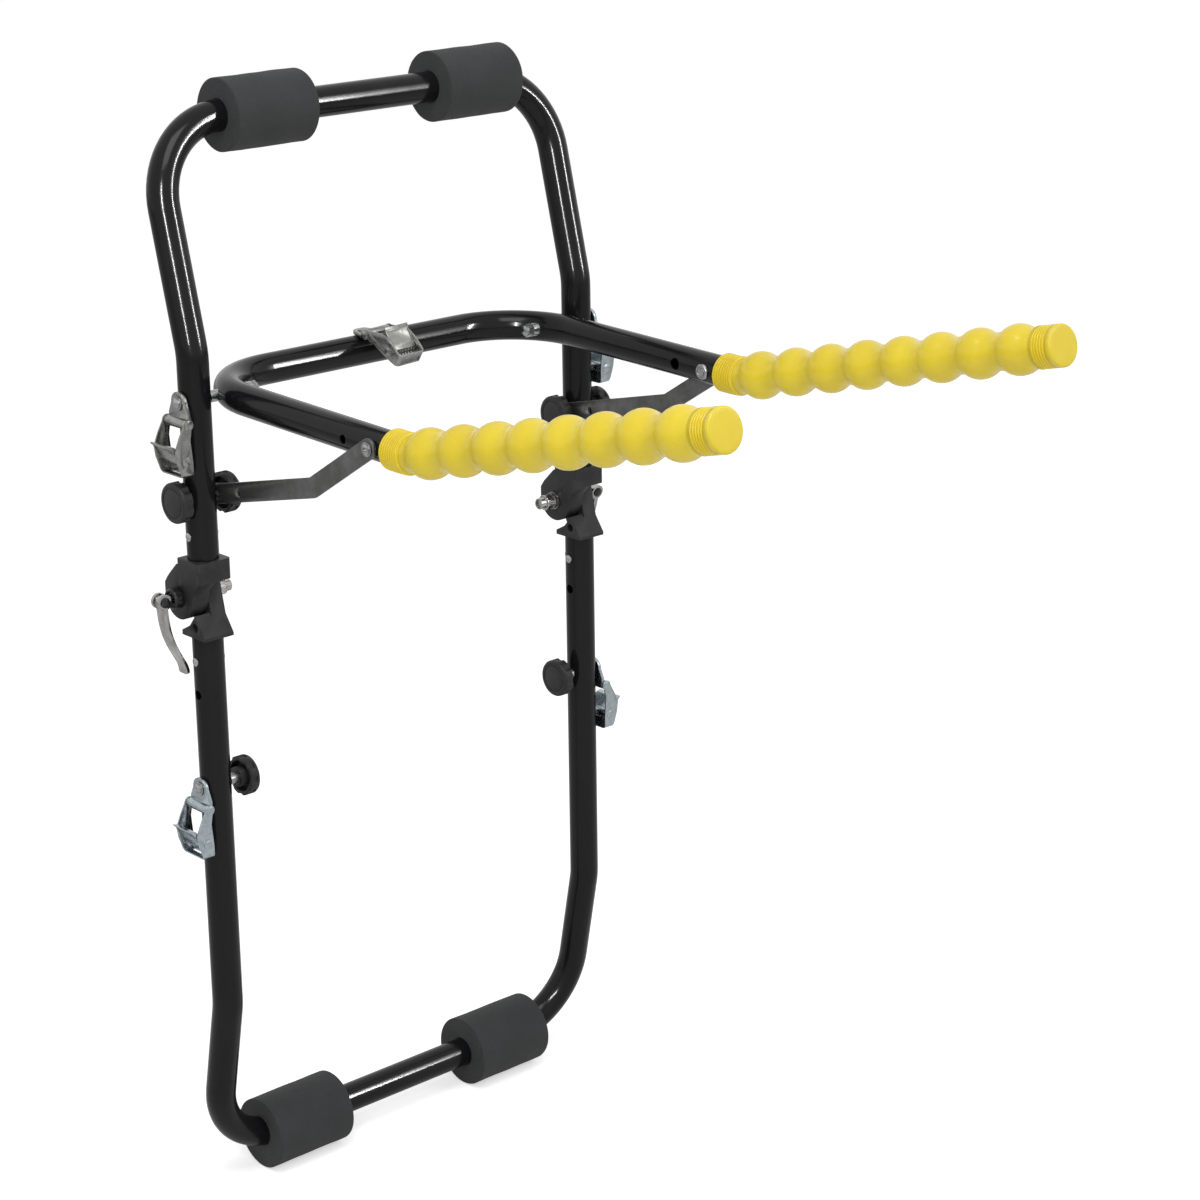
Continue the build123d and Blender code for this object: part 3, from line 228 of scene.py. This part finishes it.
# Zinc plate, either bright and bluish, dulled, or plain as on bolts: cloudy, with lines of the press tool
zinc = {
    "cloud": 260, "cloudSpan": (0.38, 0.68), "fleck": 1600, "fleckSpan": (0.6, 0.7),
    "drag": 1500, "dragStretch": (1, 1, 0.08), "dragStrength": 0.06, "dragDepth": 0.0002,
}
zincTones = {
    "bright": {"colour": rgb(0.42, 0.475, 0.5), "dull": rgb(0.24, 0.275, 0.295), "rough": 0.16},
    "aged": {"colour": rgb(0.33, 0.33, 0.315), "dull": rgb(0.19, 0.19, 0.178), "rough": 0.2},
    "bolt": {"colour": rgb(0.42, 0.43, 0.43), "dull": rgb(0.21, 0.215, 0.21), "rough": 0.16},
}


def makeZinc(name, tone):
    board = materialBoard(name)
    stain = board.ramp(board.grain(zinc["cloud"], 5, 0.6), *zinc["cloudSpan"])
    drag = board.grain(zinc["drag"], 2, 0.5, board.place(zinc["dragStretch"]))
    flecks = board.ramp(board.grain(zinc["fleck"], 3, 0.7), *zinc["fleckSpan"])
    return board.finish({
        "Base Color": board.blend(stain * 0.6 + flecks * 0.2, tone["colour"], tone["dull"]),
        "Metallic": 1.0,
        "Roughness": stain * 0.12 + drag * 0.1 + tone["rough"],
        "Normal": board.bump(drag, zinc["dragStrength"], zinc["dragDepth"]),
    })


# Polished steel of the levers, with fine hairlines and hazy places
polish = {
    "colour": rgb(0.43, 0.425, 0.415), "hazy": rgb(0.23, 0.227, 0.22), "rough": 0.08,
    "haze": 90, "hazeSpan": (0.45, 0.75), "hair": 1800, "hairStretch": (1, 1, 0.05),
    "hairStrength": 0.03, "hairDepth": 0.0002,
}


def makePolish():
    board = materialBoard("polishedSteel")
    haze = board.ramp(board.grain(polish["haze"], 4), *polish["hazeSpan"])
    hair = board.grain(polish["hair"], 2, 0.5, board.place(polish["hairStretch"]))
    return board.finish({
        "Base Color": board.blend(haze, polish["colour"], polish["hazy"]),
        "Metallic": 1.0,
        "Roughness": haze * 0.1 + hair * 0.05 + polish["rough"],
        "Normal": board.bump(hair, polish["hairStrength"], polish["hairDepth"]),
    })


# Dark oiled steel of the struts, with clouds of mill scale
strutFinish = {
    "colour": rgb(0.15, 0.152, 0.15), "scale": rgb(0.085, 0.083, 0.08), "rough": 0.3, "metallic": 0.9,
    "cloud": 45, "cloudSpan": (0.4, 0.68), "rolled": 900, "rolledStretch": (1, 0.1, 1),
    "rolledStrength": 0.08, "rolledDepth": 0.0002,
}


def makeStrutSteel():
    board = materialBoard("darkStrutSteel")
    cloud = board.ramp(board.grain(strutFinish["cloud"], 6, 0.65), *strutFinish["cloudSpan"])
    rolled = board.grain(strutFinish["rolled"], 2, 0.5, board.place(strutFinish["rolledStretch"]))
    return board.finish({
        "Base Color": board.blend(cloud, strutFinish["colour"], strutFinish["scale"]),
        "Metallic": strutFinish["metallic"],
        "Roughness": cloud * 0.14 + rolled * 0.14 + strutFinish["rough"],
        "Normal": board.bump(rolled, strutFinish["rolledStrength"], strutFinish["rolledDepth"]),
    })


# Bare steel rivets
rivetFinish = {
    "colour": rgb(0.5, 0.5, 0.49), "dark": rgb(0.26, 0.26, 0.25), "rough": 0.22,
    "cloud": 300, "cloudStrength": 0.1, "cloudDepth": 0.0002,
}


def makeRivetSteel():
    board = materialBoard("rivetSteel")
    cloud = board.grain(rivetFinish["cloud"], 4)
    return board.finish({
        "Base Color": board.blend(cloud, rivetFinish["colour"], rivetFinish["dark"]),
        "Metallic": 1.0,
        "Roughness": cloud * 0.2 + rivetFinish["rough"],
        "Normal": board.bump(cloud, rivetFinish["cloudStrength"], rivetFinish["cloudDepth"]),
    })


# Black oxide of the skewer cups and lever pins, rubbed a little
oxide = {
    "colour": rgb(0.02, 0.02, 0.021), "rubbed": rgb(0.07, 0.07, 0.07), "rough": 0.3, "metallic": 0.5,
    "rub": 240, "rubSpan": (0.55, 0.7), "rubStrength": 0.06, "rubDepth": 0.0002,
}


def makeBlackSteel():
    board = materialBoard("blackSteel")
    rub = board.ramp(board.grain(oxide["rub"], 5, 0.6), *oxide["rubSpan"])
    return board.finish({
        "Base Color": board.blend(rub, oxide["colour"], oxide["rubbed"]),
        "Metallic": oxide["metallic"],
        "Roughness": rub * 0.12 + oxide["rough"],
        "Normal": board.bump(rub, oxide["rubStrength"], oxide["rubDepth"]),
    })


# One finish per slot, except that the centre and upper left buckles are duller and the bolts are plainer
finishes = {
    "black_tube": makePowderCoat(),
    "black_nylon": makeNylon(),
    "rivet_steel": makeRivetSteel(),
    "foam": makeFoam(),
    "yellow_grip": makeVinyl(),
    "strut_steel": makeStrutSteel(),
    "polished_steel": makePolish(),
    "black_steel": makeBlackSteel(),
    "zinc_steel": makeZinc("brightZinc", zincTones["bright"]),
    "aged_zinc": makeZinc("agedZinc", zincTones["aged"]),
    "bolt_zinc": makeZinc("boltZinc", zincTones["bolt"]),
}
finishOf = {node: finishes[slot] for node, slot in slotOf.items()}
for node in nodes:
    if node.startswith(("centre_buckle", "upper_left_buckle")):
        finishOf[node] = finishes["aged_zinc"]
    elif slotOf[node] == "zinc_steel" and "buckle" not in node:
        finishOf[node] = finishes["bolt_zinc"]
for node, finish in finishOf.items():
    mesh = nodes[node].data
    mesh.materials.clear()
    mesh.materials.append(finish)
print("finishes on", len(nodes), "nodes")

mergeDistance = 0.000001


# A finished mesh that stands in for one CAD node, with that node's body and finish
def newPiece(name, bm, node):
    bmesh.ops.remove_doubles(bm, verts=bm.verts, dist=mergeDistance)
    bmesh.ops.recalc_face_normals(bm, faces=bm.faces)
    mesh = bpy.data.meshes.new(name)
    bm.to_mesh(mesh)
    bm.free()
    for polygon in mesh.polygons:
        polygon.use_smooth = True
    mesh.materials.append(finishOf[node])
    piece = bpy.data.objects.new(name, mesh)
    bpy.context.scene.collection.objects.link(piece)
    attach(piece, bodyOf[node])
    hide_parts(node)
    return piece


# A CAD piece with its sharp edges broken: a merged copy whose flat faces are whole again, then bevelled
brokenEdge = {"merge": 0.000002, "flat": 0.6, "sharp": 32, "segments": 2}


def breakEdges(node, width, name):
    bm = bmesh.new()
    bm.from_mesh(nodes[node].data)
    bmesh.ops.remove_doubles(bm, verts=bm.verts, dist=brokenEdge["merge"])
    bmesh.ops.dissolve_limit(bm, angle_limit=radians(brokenEdge["flat"]), verts=bm.verts, edges=bm.edges)
    edge = newPiece(name, bm, node).modifiers.new("brokenEdge", "BEVEL")
    edge.width = width
    edge.segments = brokenEdge["segments"]
    edge.limit_method = "ANGLE"
    edge.angle_limit = radians(brokenEdge["sharp"])
    edge.harden_normals = True


edgeWidths = {
    "knuckle": 0.0007, "knob": 0.0005, "strut": 0.0003, "lever": 0.0006, "cups": 0.0006, "nut": 0.0002,
    "link": 0.00025, "frame": 0.00025, "cam": 0.00025,
}
for side in ("left", "right"):
    for half in ("upper", "lower"):
        breakEdges(f"{half}_knuckle_{side}", edgeWidths["knuckle"], f"{half}_{side}_folding_knuckle")
    for place in ("outer", "inner", "lower"):
        breakEdges(f"{place}_knob_{side}", edgeWidths["knob"], f"{place}_{side}_hand_knob")
    breakEdges(f"strut_{side}", edgeWidths["strut"], f"{side}_flat_strut")
    breakEdges(f"release_lever_{side}", edgeWidths["lever"], f"{side}_polished_lever")
    breakEdges(f"skewer_nut_{side}", edgeWidths["nut"], f"{side}_knurled_nut")
for place in ("upper_left", "upper_right", "lower_left", "lower_right", "centre"):
    for part in ("link", "frame", "cam"):
        breakEdges(f"{place}_buckle_{part}", edgeWidths[part], f"{place}_cam_buckle_{part}")
breakEdges("skewer_cups", edgeWidths["cups"], "black_cup_washers")
print("edges broken on moulded and pressed pieces")


# A profile of (along, radius) points turned once about X
def spinProfile(points, segments, closed):
    bm = bmesh.new()
    chain = [bm.verts.new((along, 0, radius)) for along, radius in points]
    pairs = list(zip(chain, chain[1:]))
    if closed:
        pairs.append((chain[-1], chain[0]))
    edges = [bm.edges.new(pair) for pair in pairs]
    bmesh.ops.spin(
        bm, geom=chain + edges, cent=(0, 0, 0), axis=(1, 0, 0), angle=2 * pi, steps=segments, use_merge=True
    )
    bmesh.ops.remove_doubles(bm, verts=bm.verts, dist=mergeDistance)
    return bm


# Points of a rounded corner in a profile, from one side to the other
def corner(centre, radius, start, end, steps):
    turn = (end - start) / steps
    return [
        (centre[0] + radius * cos(start + turn * step), centre[1] + radius * sin(start + turn * step))
        for step in range(steps + 1)
    ]


# Foam rollers: cut from tube, so the ends are flat with a soft edge and the skin is slightly uneven.
# Their bores follow the crossbar where its ends bend into the hoop's leaning sides.
roller = {
    "bore": 0.0129, "edge": 0.0009, "edgeSteps": 6, "lip": 0.0005, "lipSteps": 4,
    "steps": 96, "rows": 26, "faceRows": 7,
    "dent": 0.00035, "dentScale": 55, "dentOffset": 0.6, "seedStep": 7,
    "hoopHalf": 0.2, "hoopBend": 0.066,
}


def makeRoller(node, seed, slope):
    low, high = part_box(node)
    middle = (low + high) / 2
    half = (high.x - low.x) / 2
    outer = (high.y - low.y) / 2
    inner = roller["bore"]
    edge, lip, rows, faceRows = roller["edge"], roller["lip"], roller["rows"], roller["faceRows"]
    span = half - edge
    profile = [(-span + 2 * span * row / rows, outer) for row in range(rows + 1)]
    profile += corner((span, outer - edge), edge, pi / 2, 0, roller["edgeSteps"])[1:]
    faceDrop = outer - edge - inner - lip
    profile += [(half, outer - edge - faceDrop * row / faceRows) for row in range(1, faceRows + 1)]
    profile += corner((half - lip, inner + lip), lip, 0, -pi / 2, roller["lipSteps"])[1:]
    mirroredEnd = [(-along, radius) for along, radius in reversed(profile[rows + 1:])]
    profile += [(half - lip - 2 * (half - lip) * row / rows, inner) for row in range(1, rows)]
    profile += mirroredEnd
    bm = spinProfile(profile, roller["steps"], True)
    side = 1 if middle.x > 0 else -1
    bend = roller["hoopBend"]
    bendStart = roller["hoopHalf"] - bend
    for vert in bm.verts:
        radius = sqrt(vert.co.y ** 2 + vert.co.z ** 2)
        away = Vector((0, vert.co.y, vert.co.z)) / radius
        spot = vert.co * roller["dentScale"] + Vector((0, 0, seed * roller["seedStep"]))
        amount = max(0, (radius - inner - lip) / (outer - inner - lip))
        vert.co += away * roller["dent"] * amount * (noise.noise(spot) - roller["dentOffset"])
        vert.co += middle
        past = side * vert.co.x - bendStart
        if past > 0:
            drop = bend - sqrt(bend ** 2 - past ** 2)
            vert.co += slope * drop * (1 - amount)
    piece = newPiece(node.replace("roller", "foam_roller"), bm, node)


upperLean, lowerLean = radians(13.84), radians(11.38)
upperSlope = Vector((0, -sin(upperLean), -cos(upperLean)))
lowerSlope = Vector((0, -sin(lowerLean), cos(lowerLean)))
for seed, (node, slope) in enumerate([
    ("upper_roller_left", upperSlope),
    ("upper_roller_right", upperSlope),
    ("lower_roller_left", lowerSlope),
    ("lower_roller_right", lowerSlope),
]):
    makeRoller(node, seed, slope)
print("foam rollers")


# Ball grips: a profile turned about X, then bent over the arm's bend
grip = {
    "droop": 1.46, "rise": 15.04, "bend": 0.08, "pivot": (0.171, -0.029934, 0.66512), "arm": 0.2335,
    "balls": 8, "pitch": 0.0387, "first": 0.0214, "ball": 0.0193, "neck": 0.0142, "curve": 0.0196,
    "ballSteps": 28, "collar": 0.0215, "collarRadius": 0.016, "collarLip": 0.0003,
    "ribs": 8, "ribDepth": 0.0016, "endStart": 0.3145, "endShoulder": 0.002, "shoulderRadius": 0.0161,
    "length": 0.333, "endRibs": 5, "cap": 0.0055, "capLip": 0.0004, "dome": 0.0014, "domeSteps": 6,
    "faceShares": (0.8, 0.5, 0.25, 0.08), "farHalf": 0.1, "steps": 96, "bore": 0.01285,
}

# One rib and its groove, as (share of its pitch, share of its depth)
ribShape = (
    (0, 0), (0.1, 0.55), (0.22, 0.9), (0.34, 1), (0.42, 1),
    (0.54, 0.9), (0.66, 0.55), (0.76, 0), (0.88, -0.15),
)


# Round ribs with grooves between two places along the grip
def ribProfile(start, end, count):
    pitch = (end - start) / count
    low = grip["collarRadius"] - grip["ribDepth"]
    points = []
    for rib in range(count):
        for share, rise in ribShape:
            points.append((start + (rib + share) * pitch, low + grip["ribDepth"] * rise))
    points.append((end, low))
    return points


# Balls and the valleys between them, as arcs that meet with one tangent
def ballProfile():
    half = grip["pitch"] / 2
    curve = grip["curve"]
    neck = grip["neck"] - grip["ball"] + curve
    valley = (half ** 2 + neck ** 2 - curve ** 2) / (2 * (curve - neck))
    share = curve / (curve + valley)
    steps = grip["ballSteps"]
    points = []
    for ball in range(grip["balls"]):
        centre = grip["first"] + ball * grip["pitch"]
        for step in range(steps):
            off = -half + 2 * half * step / steps
            if abs(off) < half * share:
                radius = grip["ball"] - curve + sqrt(curve ** 2 - off ** 2)
            else:
                radius = grip["neck"] + valley - sqrt(valley ** 2 - (half - abs(off)) ** 2)
            points.append((centre + off, radius))
    return points


# The whole profile: ribbed collar, balls, ribbed end and closed cap
def gripProfile():
    collarStart = -grip["collar"]
    capStart = grip["length"] - grip["cap"]
    lastValley = grip["first"] + (grip["balls"] - 0.5) * grip["pitch"]
    dome = grip["dome"]
    faceRadius = grip["collarRadius"] - dome
    profile = [(collarStart, grip["bore"]), (collarStart, grip["collarRadius"] - grip["ribDepth"])]
    profile += ribProfile(collarStart + grip["collarLip"], 0, grip["ribs"])
    profile += ballProfile()
    profile += [(lastValley, grip["neck"]), (grip["endStart"] - grip["endShoulder"], grip["shoulderRadius"])]
    profile += ribProfile(grip["endStart"], capStart, grip["endRibs"])
    profile += [(capStart + grip["capLip"], grip["collarRadius"])]
    profile += corner((grip["length"] - dome, faceRadius), dome, pi / 2, 0, grip["domeSteps"])
    profile += [(grip["length"], faceRadius * share) for share in grip["faceShares"]]
    return profile


def makeGrip(node, side):
    droop, rise = radians(grip["droop"]), radians(grip["rise"])
    sideways = Vector((1, 0, 0))
    forward = Vector((0, -cos(droop), -sin(droop)))
    upward = Vector((0, -sin(droop), cos(droop)))
    tip = forward * cos(rise) + upward * sin(rise)
    start = Vector(grip["pivot"]) * Vector((side, 1, 1)) + forward * grip["arm"]
    bm = spinProfile(gripProfile(), grip["steps"], False)
    rim = [edge for edge in bm.edges if edge.is_boundary and edge.verts[0].co.x > grip["farHalf"]]
    bmesh.ops.edgeloop_fill(bm, edges=rim)
    tangent = grip["bend"] * tan(rise / 2)
    for vert in bm.verts:
        along = vert.co.x
        if along <= -tangent:
            point, run = start + forward * along, forward
        elif along >= tangent:
            point, run = start + tip * along, tip
        else:
            turned = (along + tangent) / (2 * tangent) * rise
            run = forward * cos(turned) + upward * sin(turned)
            lift = forward * sin(turned) + upward * (1 - cos(turned))
            point = start - forward * tangent + lift * grip["bend"]
        vert.co = point + sideways * vert.co.y + sideways.cross(run) * vert.co.z
    newPiece(node.replace("grip", "ball_grip"), bm, node)


makeGrip("grip_left", -1)
makeGrip("grip_right", 1)
print("ball grips")

# Floor and world: both read as white behind the rack, and the floor keeps its shadow
studio = {
    "floor": 15.0, "lowest": -0.0316, "floorColour": rgb(0.9, 0.9, 0.9), "floorRough": 0.9,
    "floorSpecular": 0.1, "glow": 0.52, "ambient": 0.52, "white": rgb(1, 1, 1),
}
floorBoard = materialBoard("paleFloor")
seen = floorBoard.add("ShaderNodeLightPath", out="Is Camera Ray")
floorFinish = floorBoard.finish({
    "Base Color": studio["floorColour"],
    "Roughness": studio["floorRough"],
    "Specular IOR Level": studio["floorSpecular"],
    "Emission Color": studio["white"],
    "Emission Strength": seen * studio["glow"],
})
bm = bmesh.new()
bmesh.ops.create_grid(bm, x_segments=1, y_segments=1, size=studio["floor"])
bmesh.ops.translate(bm, verts=bm.verts, vec=(0, 0, studio["lowest"]))
floorMesh = bpy.data.meshes.new("floor")
bm.to_mesh(floorMesh)
bm.free()
floorMesh.materials.append(floorFinish)
floor = bpy.data.objects.new("floor", floorMesh)
bpy.context.scene.collection.objects.link(floor)

world = bpy.data.worlds.new("studio")
bpy.context.scene.world = world
sky = Board(world)
cameraRay = sky.add("ShaderNodeLightPath", out="Is Camera Ray")
transmissionRay = sky.add("ShaderNodeLightPath", out="Is Transmission Ray")
glossyRay = sky.add("ShaderNodeLightPath", out="Is Glossy Ray")
direct = sky.maths("MAXIMUM", sky.maths("MAXIMUM", cameraRay, transmissionRay), glossyRay)
strength = sky.add("ShaderNodeMapRange", {0: direct, 3: studio["ambient"], 4: 1.0})
background = sky.add("ShaderNodeBackground", {"Color": studio["white"], "Strength": strength})
sky.add("ShaderNodeOutputWorld", {"Surface": background})


def softLight(name, place, target, width, height, power):
    data = bpy.data.lights.new(name, "AREA")
    data.shape = "RECTANGLE"
    data.size = width
    data.size_y = height
    data.energy = power
    lamp = bpy.data.objects.new(name, data)
    lamp.location = place
    lamp.visible_camera = False
    lamp.rotation_euler = (Vector(target) - Vector(place)).to_track_quat("-Z", "Y").to_euler()
    bpy.context.scene.collection.objects.link(lamp)
    return lamp


softLight("leftPanel", (-2.15, -2.05, 1.9), (0, 0, 0.7), 0.9, 1.2, 17)
softLight("rightPanel", (1.6, -2.3, 1.8), (0, 0, 0.7), 0.9, 1.2, 12)
softLight("topPanel", (-0.7, -1.0, 2.6), (0, -0.1, 0.45), 1.2, 1.2, 22)

# The strips draw the bright lines down the tubes' sides and light nothing else
tubes = bpy.data.collections.new("tubes")
for node, slot in slotOf.items():
    if slot == "black_tube":
        tubes.objects.link(nodes[node])
for strip in (
    softLight("leftStrip", (-2.15, -2.05, 1.75), (0, 0, 0.7), 0.09, 1.3, 130),
    softLight("rightStrip", (1.6, -2.3, 1.6), (0, 0, 0.7), 0.09, 1.3, 110),
):
    strip.visible_diffuse = False
    strip.light_linking.receiver_collection = tubes

# The camera stands where the photograph was taken from
shot = {
    "place": (-1.4832, -1.9080, 1.2200), "azimuth": -42.267, "elevation": 17.787, "roll": -0.717,
    "lens": 89.2, "sensor": 36,
}
azimuth, elevation, roll = (radians(shot[name]) for name in ("azimuth", "elevation", "roll"))
back = Vector((sin(azimuth) * cos(elevation), -cos(azimuth) * cos(elevation), sin(elevation)))
level = Vector((0, 0, 1)).cross(back).normalized()
above = back.cross(level)
across = level * cos(roll) + above * sin(roll)
camera = bpy.data.objects.new("camera", bpy.data.cameras.new("camera"))
camera.data.lens = shot["lens"]
camera.data.sensor_width = shot["sensor"]
turn = Matrix((across, back.cross(across), back)).transposed().to_4x4()
camera.matrix_world = Matrix.Translation(shot["place"]) @ turn
bpy.context.scene.collection.objects.link(camera)
bpy.context.scene.camera = camera
bpy.context.scene.view_settings.view_transform = "Standard"
print("camera and lights")
